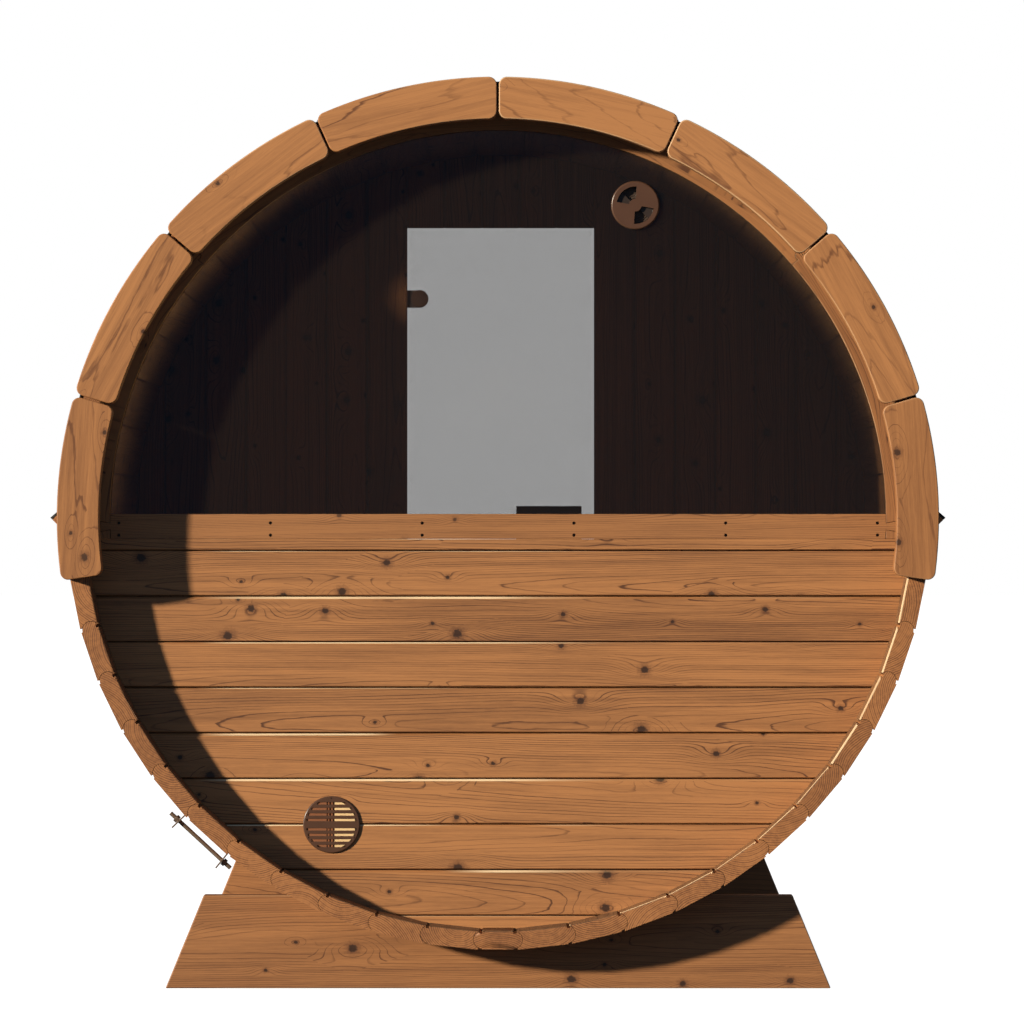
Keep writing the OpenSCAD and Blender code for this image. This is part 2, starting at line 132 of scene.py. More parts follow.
def ease_edges(piece, width, segments=2, angle=40):
    """Rounds every edge sharper than an angle and shades the rest smooth."""
    finish_with(piece, "BEVEL", width=width, segments=segments, limit_method="ANGLE",
                angle_limit=math.radians(angle), use_clamp_overlap=True, harden_normals=False)
    only(piece)
    bpy.ops.object.shade_smooth_by_angle(angle=math.radians(35))
    finish_with(piece, "WEIGHTED_NORMAL", weight=100, keep_sharp=True)


def shrink(piece, by):
    """Planes a little off a piece all round, so that its joints show."""
    edit(piece)
    bpy.ops.transform.shrink_fatten(value=-by)
    leave()


def parts_of(piece):
    """The separate bodies of a piece, each as a piece of its own."""
    edit(piece)
    bpy.ops.mesh.separate(type="LOOSE")
    leave()
    return list(bpy.context.selected_objects)


def join(pieces, name):
    """Several pieces as one."""
    only(pieces[0])
    for piece in pieces:
        piece.select_set(True)
    if len(pieces) > 1:
        bpy.ops.object.join()
    joined = bpy.context.active_object
    joined.name = joined.data.name = name
    return joined


def middle(piece):
    """The middle of a piece's box."""
    spots = np.array([v.co for v in piece.data.vertices])
    return Vector((spots.min(0) + spots.max(0)) / 2)


def set_grain(piece, along, across, centre=None, curved=False, worn_side=None, shade=None):
    """Stores each point's place in the log that the board was sawn from.

    grain is the place along, across and out from the pith, which leans a little in the
    board, tone is the board's own shade, or a painted shade where one is given, cut marks
    the faces sawn across the grain, and the highlight mark the narrow faces of its rounded
    edges, or of those on one side only, that take a pale painted highlight. A curved
    piece's grain follows the barrel.
    """
    along, across = Vector(along).normalized(), Vector(across).normalized()
    through = along.cross(across)
    centre = middle(piece) if centre is None else centre
    axes = np.array([along, across, through]).T
    mesh = piece.data
    spots = np.empty(len(mesh.vertices) * 3)
    mesh.vertices.foreach_get("co", spots)
    spots = spots.reshape(-1, 3)
    local = (spots - np.array(centre)) @ axes
    if curved:
        radius = np.hypot(spots[:, 0], spots[:, 2] - AXIS_Z)
        turn = np.arctan2(spots[:, 0], spots[:, 2] - AXIS_Z)
        local = np.stack([turn * GRAIN_R, radius - GRAIN_R, spots[:, 1] - centre[1]], axis=1)
    log = np.array([draws.uniform(1, 60), draws.uniform(-0.075, 0.075),
                    draws.choice((-1, 1)) * draws.uniform(0.05, 0.13)])
    lean = np.array([0, draws.uniform(-0.014, 0.014), draws.uniform(-0.025, 0.025)])
    grain = local + log + local[:, :1] * lean
    store = mesh.attributes.new("grain", "FLOAT_VECTOR", "POINT")
    store.data.foreach_set("vector", grain.ravel())
    store = mesh.attributes.new("tone", "FLOAT", "POINT")
    shade = draws.random() if shade is None else shade
    store.data.foreach_set("value", np.full(len(mesh.vertices), shade))
    normals = np.empty(len(mesh.polygons) * 3)
    mesh.polygons.foreach_get("normal", normals)
    normals = normals.reshape(-1, 3)
    across_cut = np.abs(normals @ np.array(along)) > 0.8
    facing = np.abs(normals[:, 1])
    worn = (facing > 0.12) & (facing < 0.97)
    if worn_side is not None:
        worn &= normals @ np.array(worn_side) > 0.3
    for kind, marks in (("cut", across_cut), ("worn", worn)):
        store = mesh.attributes.new(kind, "FLOAT", "FACE")
        store.data.foreach_set("value", marks.astype(float))


class Wire:
    """A shader socket that can be used in sums, each of which adds its Math node."""

    def __init__(self, tree, socket=None):
        self.tree, self.socket = tree, socket

    def node(self, kind, settings=None, inputs=None, output=0):
        """Adds any other node: its settings first, then the values or links of its sockets."""
        made = self.tree.nodes.new(kind)
        for key, value in (settings or {}).items():
            setattr(made, key, value)
        for key, value in (inputs or {}).items():
            socket = made.inputs[key]
            if isinstance(value, Wire):
                self.tree.links.new(value.socket, socket)
            elif isinstance(value, tuple) and socket.type == "RGBA":
                socket.default_value = (*value, 1)
            else:
                socket.default_value = value
        return Wire(self.tree, made.outputs[output])

    def maths(self, operation, *values):
        return self.node("ShaderNodeMath", {"operation": operation}, dict(enumerate(values)))

    def __add__(self, other):
        return self.maths("ADD", self, other)

    def __radd__(self, other):
        return self.maths("ADD", other, self)

    def __sub__(self, other):
        return self.maths("SUBTRACT", self, other)

    def __rsub__(self, other):
        return self.maths("SUBTRACT", other, self)

    def __mul__(self, other):
        return self.maths("MULTIPLY", self, other)

    def __rmul__(self, other):
        return self.maths("MULTIPLY", other, self)

    def __truediv__(self, other):
        return self.maths("DIVIDE", self, other)

    def __pow__(self, other):
        return self.maths("POWER", self, other)

    def __gt__(self, other):
        return self.maths("GREATER_THAN", self, other)

    def noise(self, detail=2, rough=0.5):
        """Noise that reads this wire as its place."""
        return self.node("ShaderNodeTexNoise", {"noise_dimensions": "3D"},
                         {"Vector": self, "Scale": 1, "Detail": detail, "Roughness": rough})

    def part(self, i):
        """One of a vector's three numbers."""
        return self.node("ShaderNodeSeparateXYZ", {}, {0: self}, output=i)

    def scaled(self, times):
        return self.node("ShaderNodeVectorMath", {"operation": "SCALE"}, {0: self, "Scale": times})

    def blend(self, first, second, how="MIX"):
        """Mixes two colours by this wire."""
        return self.node("ShaderNodeMix", {"data_type": "RGBA", "blend_type": how},
                         {"Factor": self, "A": first, "B": second}, output="Result")

    def rising(self, low, high):
        """0 below low and 1 above high, or the other way round where low is the larger."""
        return self.node("ShaderNodeMapRange", {"interpolation_type": "SMOOTHSTEP"},
                         {"Value": self, "From Min": low, "From Max": high}, output="Result")


def new_finish(name, **sockets):
    """A material with one Principled shader, its tree as a wire, and the shader."""
    material = bpy.data.materials.new(name)
    material.use_nodes = True
    shader = material.node_tree.nodes["Principled BSDF"]
    for key, value in sockets.items():
        shader.inputs[key.replace("_", " ")].default_value = value
    return material, Wire(material.node_tree), shader


def feed(shader, **wires):
    """Links wires to the shader's sockets."""
    for key, wire in wires.items():
        wire.tree.links.new(wire.socket, shader.inputs[key.replace("_", " ")])


def timber(name, pale, deep, knotty=1.0, highlight_strength=0.35, ring_gap=0.0036, damp=0.0,
           highlight_fade_right=0.0):
    """Planed softwood from solid: growth rings, knots that push them aside, and fibres.

    A painted shade darkens the barrel's inner face in the porch outside each end wall, and
    pale painted highlights go on the narrow edge faces where the key lamp falls, eased out
    toward a wall's right half.
    """
    material, start, shader = new_finish(name, Roughness=0.6)
    grain = start.node("ShaderNodeAttribute", {"attribute_name": "grain"}, output="Vector")
    tone, cut, worn = (start.node("ShaderNodeAttribute", {"attribute_name": kind}, output="Fac")
                       for kind in ("tone", "cut", "worn"))
    x, y, z = (grain.part(i) for i in range(3))

    def spot_noise(along, across, detail=2, rough=0.5):
        sized = start.node("ShaderNodeCombineXYZ", {}, {0: x * along, 1: y * across, 2: z * across})
        return sized.noise(detail, rough) - 0.5

    knot_pitch, knot_lane = 0.26, 0.075
    cell = {"Vector": start.node("ShaderNodeCombineXYZ", {}, {0: x / knot_pitch, 1: y / knot_lane}),
            "Scale": 1, "Randomness": 0.95}
    flat = {"voronoi_dimensions": "2D"}
    knot = start.node("ShaderNodeTexVoronoi", flat, cell, output="Position")
    chance = start.node("ShaderNodeTexVoronoi", flat, cell, output="Color")
    near_x, near_y = x - knot.part(0) * knot_pitch, y - knot.part(1) * knot_lane
    radius = 0.0034 + 0.0062 * chance.part(1) * chance.part(1)
    present = (chance.part(0) > 0.40) * (1 - cut) * knotty
    ragged = spot_noise(190, 190, 2) * 1.1 + 1
    away = (near_x * near_x * 0.7 + near_y * near_y) ** 0.5 / radius * ragged
    core = away.rising(1.25, 0.75) * present
    rim = away.rising(2.6, 1.0) * present
    swirl = (near_x * near_x * 0.16 + near_y * near_y) / (radius * radius) * -0.09
    push = swirl.maths("EXPONENT", swirl) * present * radius * 2.4

    from_pith = (y * y + z * z) ** 0.5
    steep = y.maths("ABSOLUTE", y) / from_pith
    steep = steep.maths("MAXIMUM", steep, cut)
    ring = (from_pith + spot_noise(0.9, 5) * 0.034 + spot_noise(5, 40) * 0.0030
            + spot_noise(30, 150) * 0.0005 + push)
    count = ring / (ring_gap + cut * 0.0012)
    phase = count.maths("FRACT", count)
    year = count.maths("FLOOR", count)
    strength = start.node("ShaderNodeCombineXYZ", {}, {0: year * 3.7, 1: tone * 31}).noise(0) * 2.0 - 0.42
    late = phase.rising(0.88 - steep * 0.38, 0.95) * phase.rising(1.0, 0.96) * strength * (1 + cut * 0.5)

    fibre = spot_noise(14, 420, 3, 0.65)
    speckle = spot_noise(60, 1500, 1)
    streak = spot_noise(1.8, 90)
    cloud = spot_noise(1.6, 10)
    depth = (late * 0.95 + fibre * 0.74 + speckle * 0.28 + streak * 0.95 + cloud * 0.70
             + (tone - 0.5) * 0.28 + rim * 0.22 + 0.20)
    body = depth.blend(pale, deep)
    body = (rim * 0.35).blend(body, (0.14, 0.046, 0.014))
    body = (core * 0.92).blend(body, (0.030, 0.011, 0.005))
    body = (cut * 0.5).blend(body, (0.88, 0.80, 0.72), "MULTIPLY")
    # Painted highlight: the marked edge faces turn pale in patches along each board, but not at the far
    # left, which lies in shade, and, where asked, less toward the right half. The pale colour stands in
    # for light catching those edges.
    patchy = start.node("ShaderNodeCombineXYZ", {}, {0: x * 1.5, 1: tone * 57}).noise(1)
    where = start.node("ShaderNodeTexCoord", output="Object")
    wide, deep_in, up = (where.part(i) for i in range(3))
    sunward = wide.rising(-0.72, -0.60) * (1 - wide.rising(-0.05, 0.30) * highlight_fade_right)
    # Painted shade: the staves' inner face in the porch past each end wall, a recess, is multiplied
    # darker and cooler, except on the highlighted edges.
    if damp:
        rise = up - AXIS_Z
        inner = ((wide ** 2 + rise ** 2) ** 0.5).rising(INNER_R + 0.0040, INNER_R + 0.0030)
        outdoors = deep_in.maths("ABSOLUTE", deep_in) > END_Y - PORCH
        body = (inner * outdoors * (1 - worn) * damp).blend(body, (0.50, 0.54, 0.58), "MULTIPLY")
    body = (worn * patchy.rising(0.38, 0.54) * sunward * highlight_strength).blend(body, (0.90, 0.66, 0.40))
    height = fibre * 0.7 + late * -0.5 + core * -0.6
    bump = start.node("ShaderNodeBump", {}, {"Strength": 0.30, "Distance": 0.0006, "Height": height})
    feed(shader, Base_Color=body, Roughness=0.58 + fibre * 0.25 - core * 0.1, Normal=bump)
    return material


stave_timber = timber("stave_timber", (0.430, 0.176, 0.059), (0.135, 0.044, 0.0130), 1.0, 0.7, damp=1.0)


def place(piece, material, body, slot, *nodes):
    """Gives a finished piece its material and its body, and hides the CAD nodes that it stands for."""
    piece.data.materials.clear()
    piece.data.materials.append(material)
    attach(piece, body)
    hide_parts(*nodes)


def round_barrel(piece):
    """The outward direction from the barrel's axis through a piece's middle."""
    spots = np.array([v.co for v in piece.data.vertices]).mean(0)
    out = Vector((spots[0], 0, spots[2] - AXIS_Z))
    return out.normalized()


def cut_out(piece, cutter):
    """Takes the cutter's shape out of a piece, and clears the cutter away."""
    edit(cutter)
    bpy.ops.mesh.normals_make_consistent(inside=False)
    leave()
    finish_with(piece, "BOOLEAN", object=cutter, operation="DIFFERENCE", solver="EXACT")
    bpy.data.objects.remove(cutter)


def open_joints(stave, out):
    """Planes a little off a stave, cuts the rebate beside its bead and chamfers its ends.

    The bead's side is the one that bulges past the corner at the stave's middle height.
    """
    shrink(stave, STAVE_SHAVE)
    side = ALONG_Y.cross(out)
    spots = [(v.co - AXIS).dot(side) for v in stave.data.vertices]
    heights = [(v.co - AXIS).dot(out) - INNER_R for v in stave.data.vertices]
    for sign in (-1, 1):
        corner = max(s * sign for s, h in zip(spots, heights) if h < 2 * STAVE_SHAVE + 0.0001)
        bulge = max(s * sign for s, h in zip(spots, heights) if abs(h - STAVE_T / 2 + 0.001) < 0.006)
        if bulge < corner + 0.005:
            continue
        bpy.ops.mesh.primitive_cube_add(size=1)
        bar = bpy.context.active_object
        for vertex in bar.data.vertices:
            a, b, c = vertex.co
            vertex.co = (AXIS + side * sign * (corner + REBATE_W * (a + 0.54)) + ALONG_Y * c * 3
                         + out * (INNER_R + REBATE_DEEP / 2 + b * (REBATE_DEEP + 0.003)))
        cut_out(stave, bar)
    edit(stave, "EDGE")
    bpy.ops.mesh.select_all(action="DESELECT")
    leave()
    for edge in stave.data.edges:
        a, b = (stave.data.vertices[i].co for i in edge.vertices)
        edge.select = (min(abs(a.y), abs(b.y)) > END_Y - 0.002 and a.y * b.y > 0
                       and max((a - AXIS).dot(out), (b - AXIS).dot(out)) < INNER_R + 0.0015)
    bpy.ops.object.mode_set(mode="EDIT")
    bpy.ops.mesh.bevel(offset=END_CHAMFER, segments=2, affect="EDGES")
    leave()


def make_staves(stave_node):
    """The staves of one CAD node, each with its own grain."""
    staves = parts_of(take(stave_node, stave_node + "_boards"))
    for stave in staves:
        out = round_barrel(stave)
        open_joints(stave, out)
        ease_edges(stave, 0.0011, 2, 28)
        heart = AXIS + out * (INNER_R + STAVE_T / 2)
        # Painted highlight on the edge faces that look left, toward the key lamp.
        set_grain(stave, ALONG_Y, ALONG_Y.cross(out), heart, worn_side=(-1, 0, 0))
    boards = join(staves, stave_node + "_boards")
    place(boards, stave_timber, BARREL, "stave_wood", stave_node)


for stave_node in [n for n in frame["nodes"] if n.startswith("staves_")]:
    make_staves(stave_node)

# ---- End trim ---------------------------------------------------------------------------
# Curved boards, bandsawn from wide planks, screwed to the stave ends over the upper part of
# the barrel. Their corners are rounded with a router, and so are their arrises.

TRIM_IN = 0.929
TRIM_MID = (TRIM_IN + TRIM_OUT) / 2
TRIM_CORNER = 0.019
TRIM_STEPS = 18
trim_timber = timber("trim_timber", (0.460, 0.189, 0.062), (0.165, 0.055, 0.0155), 0.9, 0.3)


def trim_board(name, first_angle, angle, near_y, far_y, shade):
    """A board swept round the axis from an upright section, clockwise from first_angle."""
    bpy.ops.mesh.primitive_plane_add(size=1, location=(0, 0, 0))
    board = bpy.context.active_object
    board.name = board.data.name = name
    out = Vector((math.sin(first_angle), 0, math.cos(first_angle)))
    for vertex in board.data.vertices:
        radius = TRIM_OUT if vertex.co.x > 0 else TRIM_IN
        vertex.co = AXIS + out * radius + ALONG_Y * (far_y if vertex.co.y > 0 else near_y)
    edit(board)
    bpy.ops.mesh.spin(steps=TRIM_STEPS, angle=-angle, center=AXIS, axis=ALONG_Y)
    bpy.ops.mesh.select_all(action="SELECT")
    bpy.ops.mesh.remove_doubles(threshold=TOUCH)
    bpy.ops.mesh.normals_make_consistent(inside=False)
    bpy.ops.mesh.select_mode(type="EDGE")
    bpy.ops.mesh.select_all(action="DESELECT")
    leave()
    last = first_angle + angle
    ends = [Vector((math.sin(a), 0, math.cos(a))) for a in (first_angle, last)]
    for edge in board.data.edges:
        a, b = (board.data.vertices[i].co for i in edge.vertices)
        runs_deep = abs(a.y - b.y) > 0.01
        spot = a - AXIS
        at_end = min((spot - out * spot.dot(out) - ALONG_Y * spot.y).length for out in ends) < 0.001
        edge.select = runs_deep and at_end
    bpy.ops.object.mode_set(mode="EDIT")
    bpy.ops.mesh.bevel(offset=TRIM_CORNER, segments=8, affect="EDGES")
    leave()
    ease_edges(board, 0.0028, 3, 50)
    centre_out = Vector((math.sin(first_angle + angle / 2), 0, math.cos(first_angle + angle / 2)))
    set_grain(board, ALONG_Y.cross(centre_out), centre_out, AXIS + centre_out * TRIM_MID, shade=shade)
    return board


TRIM_ANGLE = math.radians(24.6)
TRIM_GAP_ANGLE = 0.005 / TRIM_MID
# Painted shade: each trim board's tone is given, darkest for the low boards at the sides and palest at
# the top, standing in for how the light falls round the arch.
TRIM_PAINTED_SHADES = (1.1, 0.9, 0.6, 0.2, 0.0, 0.5, 0.8, 0.9)


def trim_run(name, first, count, near_y, far_y):
    """Trim boards one after another, counted clockwise from the left."""
    boards = []
    for i in range(first, first + count):
        start = (i - 4) * TRIM_ANGLE + TRIM_GAP_ANGLE / 2
        boards.append(trim_board(f"{name}_{i}", start, TRIM_ANGLE - TRIM_GAP_ANGLE, near_y, far_y,
                                 TRIM_PAINTED_SHADES[i]))
    return join(boards, name)


low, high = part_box("window_trim_1")
for i in range(8):
    board = trim_run(f"window_trim_board_{i + 1}", i, 1, low.y, high.y)
    place(board, trim_timber, BARREL, "trim_wood", f"window_trim_{i + 1}")
low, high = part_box("door_trim_left")
for first, side in ((0, "left"), (4, "right")):
    boards = trim_run(f"door_trim_boards_{side}", first, 4, low.y, high.y)
    place(boards, trim_timber, BARREL, "trim_wood", f"door_trim_{side}")

# ---- Lower window wall ------------------------------------------------------------------
# Tongue-and-groove boards laid flat under the window, their ends in the staves' groove.
# Each joint shows as a dark groove between two chamfers.

# The wall's upper chamfers carry a strong painted highlight, eased out toward its right half.
wall_timber = timber("wall_timber", (0.445, 0.182, 0.060), (0.105, 0.034, 0.0100), 1.0, 0.95,
                     highlight_fade_right=0.92)
BOARD_COVER = 0.10725
FIRST_SEAM = 0.077
BOARD_GAP = 0.0036
LOW_CHAMFER = 0.0012
TOP_CHAMFERS = (0.0004, 0.0006, 0.0034, 0.0018, 0.0034, 0.0034, 0.0032, 0.0018, 0.0034, 0.0008)
TONGUE = 0.009
TONGUE_IN = 0.014


def cut_board(source, name, normal, low, high):
    """One board of a wall: what lies between low and high along normal, with its joints."""
    only(source)
    bpy.ops.object.duplicate()
    board = bpy.context.active_object
    board.name = board.data.name = name
    normal = Vector(normal)
    reach = [v.co.dot(normal) for v in source.data.vertices]
    for at, sign in ((low, 1), (high, -1)):
        if not min(reach) + 0.0002 < at < max(reach) - 0.0002:
            continue
        edit(board)
        bpy.ops.mesh.bisect(plane_co=normal * at, plane_no=normal * sign, use_fill=True,
                            clear_inner=True, clear_outer=False)
        leave()
    return board


def chamfer_joint(board, normal, at, width):
    """Chamfers the edges where a board's two faces meet one of its joints."""
    normal = Vector(normal)
    edit(board, "EDGE")
    bpy.ops.mesh.select_all(action="DESELECT")
    leave()
    mesh = board.data
    for edge in mesh.edges:
        a, b = (mesh.vertices[i].co for i in edge.vertices)
        on_joint = abs(a.dot(normal) - at) < 0.0002 and abs(b.dot(normal) - at) < 0.0002
        edge.select = on_joint and abs(a.y - b.y) < 0.0001 and (a - b).length > 0.012
    bpy.ops.object.mode_set(mode="EDIT")
    bpy.ops.mesh.bevel(offset=width * 2 ** 0.5, segments=1, affect="EDGES")
    leave()


def plank(source, name, normal, low, high, along, across, widths=(0.003, 0.003)):
    """A wall board with chamfered joints and grain of its own."""
    low, high = low + BOARD_GAP / 2, high - BOARD_GAP / 2
    board = cut_board(source, name, normal, low, high)
    chamfer_joint(board, normal, low, widths[0])
    chamfer_joint(board, normal, high, widths[1])
    only(board)
    bpy.ops.object.shade_smooth_by_angle(angle=math.radians(20))
    # The painted highlight goes on the upward-facing chamfers.
    set_grain(board, along, across, worn_side=(0, 0, 1))
    return board


def tongues(source, name, normal, seams, depth):
    """The tongues that close the joints of a wall, seen as the dark bottoms of the grooves."""
    strips = []
    for i, seam in enumerate(seams):
        strip = cut_board(source, f"{name}_{i}", normal, seam - TONGUE / 2, seam + TONGUE / 2)
        y0, y1 = depth
        for vertex in strip.data.vertices:
            vertex.co.y = min(max(vertex.co.y, y0), y1)
        strips.append(strip)
    return strips


wall = take("window_wall", "window_wall_source")
low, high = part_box("window_wall")
seams = [AXIS_Z - FIRST_SEAM - BOARD_COVER * i for i in range(9)]
edges = [high.z + BOARD_GAP / 2] + seams + [low.z - BOARD_GAP / 2]
boards = []
for i, (top, bottom) in enumerate(zip(edges, edges[1:])):
    boards.append(plank(wall, f"wall_board_{i}", (0, 0, 1), bottom, top, (1, 0, 0), (0, 0, 1),
                        (LOW_CHAMFER, TOP_CHAMFERS[i])))
boards += tongues(wall, "wall_tongue", (0, 0, 1), seams, (low.y + TONGUE_IN, high.y - TONGUE_IN))
for strip in boards[len(edges) - 1:]:
    set_grain(strip, (1, 0, 0), (0, 0, 1))
boards = join(boards, "window_wall_boards")
place(boards, wall_timber, BARREL, "wall_wood", "window_wall")
bpy.data.objects.remove(wall)

# ---- Window frame -----------------------------------------------------------------------
# A half-round frame in three pieces, locked by round keys, and a rail with fan-shaped keys
# at its ends. Pairs of countersunk screws hold the rail. The glass is bedded behind them.

frame_timber = timber("frame_timber", (0.372, 0.150, 0.049), (0.110, 0.036, 0.0105), 0.8, 0.3)
for part in ("window_frame_top", "window_frame_left", "window_frame_right"):
    piece = take(part, part + "_timber")
    shrink(piece, 0.0006)
    ease_edges(piece, 0.0014, 2, 45)
    set_grain(piece, (1, 0, 0), (0, 0, 1), curved=True)
    place(piece, frame_timber, BARREL, "wall_wood", part)

inner = take("window_inner_frame", "window_inner_frame_timber")
ease_edges(inner, 0.0015, 2, 45)
set_grain(inner, (1, 0, 0), (0, 0, 1), curved=True)
place(inner, frame_timber, BARREL, "wall_wood", "window_inner_frame")

SCREW_PITCH = 0.357
SCREW_ROWS = (-0.0125, -0.041)
BORE_R, HEAD_R = 0.0038, 0.0031
HEAD_SUNK = 0.0075
rail = take("window_rail", "window_rail_timber")
shrink(rail, 0.0006)
rail_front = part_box("window_rail")[0].y
screw_steel, start, shader = new_finish("screw_steel", Roughness=0.45, Metallic=0.9)
speck = start.node("ShaderNodeTexCoord", output="Object").scaled(900).noise()
feed(shader, Base_Color=speck.blend((0.030, 0.024, 0.020), (0.08, 0.066, 0.055)))


def upright_pin(radius, depth, spot, sides=24):
    """A cylinder that lies along Y with its middle at a spot."""
    bpy.ops.mesh.primitive_cylinder_add(vertices=sides, radius=radius, depth=depth, location=spot,
                                        rotation=(math.pi / 2, 0, 0))
    bpy.ops.object.transform_apply(location=True, rotation=True, scale=True)
    return bpy.context.active_object


spots = [Vector(((column - 2.5) * SCREW_PITCH, rail_front, AXIS_Z + row))
         for column in range(6) for row in SCREW_ROWS]
bores = join([upright_pin(BORE_R, 0.02, spot) for spot in spots], "screw_bores")
cut_out(rail, bores)
edit(rail)
bpy.ops.mesh.dissolve_limited(angle_limit=math.radians(0.3))
leave()
ease_edges(rail, 0.0012, 2, 45)
set_grain(rail, (1, 0, 0), (0, 0, 1))
place(rail, frame_timber, BARREL, "wall_wood", "window_rail")
heads = [upright_pin(HEAD_R, 0.004, spot + ALONG_Y * HEAD_SUNK, 20) for spot in spots]
screws = join(heads, "rail_screws")
ease_edges(screws, 0.0005, 1, 40)
screws.data.materials.clear()
screws.data.materials.append(screw_steel)
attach(screws, BARREL)

# ---- Glass ------------------------------------------------------------------------------
# The half-moon window is one sheet of bronze-tinted toughened glass. The door is a sheet of
# clearer glass, with its arrises ground.


def glazing(name, tint, strength, roughness=0.03):
    """Toughened glass: a thin tint over what lies behind, under a gloss."""
    material, start, shader = new_finish(name, Roughness=roughness, Alpha=strength, IOR=1.5)
    wave = start.node("ShaderNodeTexCoord", output="Object").noise(1)
    feed(shader, Base_Color=wave.blend(tint, tuple(c * 1.15 for c in tint)))
    return material


window_glazing = glazing("bronze_glass", (0.012, 0.0080, 0.0055), 0.455)
glass = take("window_glass", "window_pane")
ease_edges(glass, 0.001, 1, 45)
place(glass, window_glazing, BARREL, "tinted_glass", "window_glass")
door_glazing = glazing("clear_glass", (0.80, 0.82, 0.80), 0.02)
pane = take("door_glass", "door_pane")
ease_edges(pane, 0.0012, 2, 45)
place(pane, door_glazing, "door", "door_glass", "door_glass")

# ---- Vents ------------------------------------------------------------------------------
# Moulded brown plastic: a round vent in the glass with a shutter that turns behind two
# openings, and a louvre plate in the wall held by three small screws.


def moulded(name, colour, roughness=0.42):
    """Injection-moulded plastic with a faint sparked texture."""
    material, start, shader = new_finish(name, Roughness=roughness, IOR=1.46)
    where = start.node("ShaderNodeTexCoord", output="Object")
    fine, broad = where.scaled(1400).noise(), where.scaled(22).noise()
    shade = broad.blend(tuple(c * 0.86 for c in colour), tuple(c * 1.14 for c in colour))
    bump = start.node("ShaderNodeBump", {}, {"Strength": 0.25, "Distance": 0.0002, "Height": fine})
    feed(shader, Base_Color=shade, Roughness=roughness - 0.06 + fine * 0.12, Normal=bump)
    return material


def round_rim(piece, width):
    """Rounds the outer rim of a vent's front plate."""
    low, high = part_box(piece.name.replace("_moulding", ""))
    centre = (low + high) / 2
    radius = (high.x - low.x) / 2
    edit(piece, "EDGE")
    bpy.ops.mesh.select_all(action="DESELECT")
    leave()
    for edge in piece.data.edges:
        spots = [piece.data.vertices[i].co for i in edge.vertices]
        edge.select = all(abs(v.y - low.y) < 0.0002 and abs(math.hypot(v.x - centre.x, v.z - centre.z)
                          - radius) < 0.0003 for v in spots)
    bpy.ops.object.mode_set(mode="EDIT")
    bpy.ops.mesh.bevel(offset=width, segments=5, affect="EDGES")
    leave()


GLASS_SCREEN_R, WALL_SCREEN_R = 0.0465, 0.0575
SCREEN_RINGS = (0.018, 0.024, 0.030, 0.036, 0.042)
SLIDE_SPANS = ((-0.055, -0.0115), (-0.0085, -0.0050), (-0.0010, 0.0030))
SCREEN_SPAN = (0.0075, 0.055)
vent_brown = moulded("vent_brown", (0.092, 0.042, 0.0240), 0.30)
vent = take("glass_vent", "glass_vent_moulding")
round_rim(vent, 0.0040)
ease_edges(vent, 0.0006, 2, 40)
place(vent, vent_brown, BARREL, "vent_brown", "glass_vent")
shutter = take("glass_vent_shutter", "glass_vent_shutter_moulding")
ease_edges(shutter, 0.0006, 2, 40)
place(shutter, moulded("shutter_brown", (0.030, 0.018, 0.013)), "vent_shutter", "vent_brown",
      "glass_vent_shutter")
low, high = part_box("glass_vent")
GLASS_VENT = (low + high) / 2
screen_y = high.y - 0.004
screen = [upright_pin(GLASS_SCREEN_R, 0.002, (GLASS_VENT.x, screen_y, GLASS_VENT.z), 64)]
for radius in SCREEN_RINGS:
    bpy.ops.mesh.primitive_torus_add(major_radius=radius, minor_radius=0.0013, major_segments=64,
                                     minor_segments=6, rotation=(math.pi / 2, 0, 0),
                                     location=(GLASS_VENT.x, screen_y - 0.0013, GLASS_VENT.z))
    bpy.ops.object.transform_apply(location=True, rotation=True, scale=True)
    screen.append(bpy.context.active_object)
screen = join(screen, "glass_vent_screen")
place(screen, moulded("screen_brown", (0.060, 0.036, 0.024), 0.5), BARREL, "vent_brown")
low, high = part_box("wall_vent")
WALL_VENT = (low + high) / 2
SLIDE_AT = Vector((WALL_VENT.x, low.y + 0.0032, WALL_VENT.z))


def disc_slice(name, first, last):
    """The part of a disc in the wall vent's slots that lies from first to last along X."""
    disc = upright_pin(WALL_SCREEN_R, 0.0034, SLIDE_AT, 72)
    for at, sign in ((first, 1), (last, -1)):
        edit(disc)
        bpy.ops.mesh.bisect(plane_co=(WALL_VENT.x + at, 0, 0), plane_no=(sign, 0, 0), use_fill=True,
                            clear_inner=True)
        leave()
    disc.name = disc.data.name = name
    return disc


# Painted light: two discs just behind the slots, a reddish-brown slide on the left and a pale cream one
# on the right, paint the inside of the vent as shaded on its left and sunlit on its right.
slide = join([disc_slice("vent_slide", *span) for span in SLIDE_SPANS], "vent_slide")
place(slide, moulded("vent_inside_painted_shade", (0.250, 0.088, 0.034), 0.5), BARREL, "vent_brown")
screen = disc_slice("vent_fly_screen", *SCREEN_SPAN)
place(screen, moulded("vent_inside_painted_sunlight", (0.80, 0.52, 0.255), 0.6), BARREL, "vent_brown")
louvre = take("wall_vent", "wall_vent_moulding")
round_rim(louvre, 0.0032)
ease_edges(louvre, 0.0003, 1, 40)
place(louvre, vent_brown, BARREL, "vent_brown", "wall_vent")

# ---- Door end wall ----------------------------------------------------------------------
# The same tongue-and-groove boards, stood upright on each side of the doorway, with short
# ones over and under it.

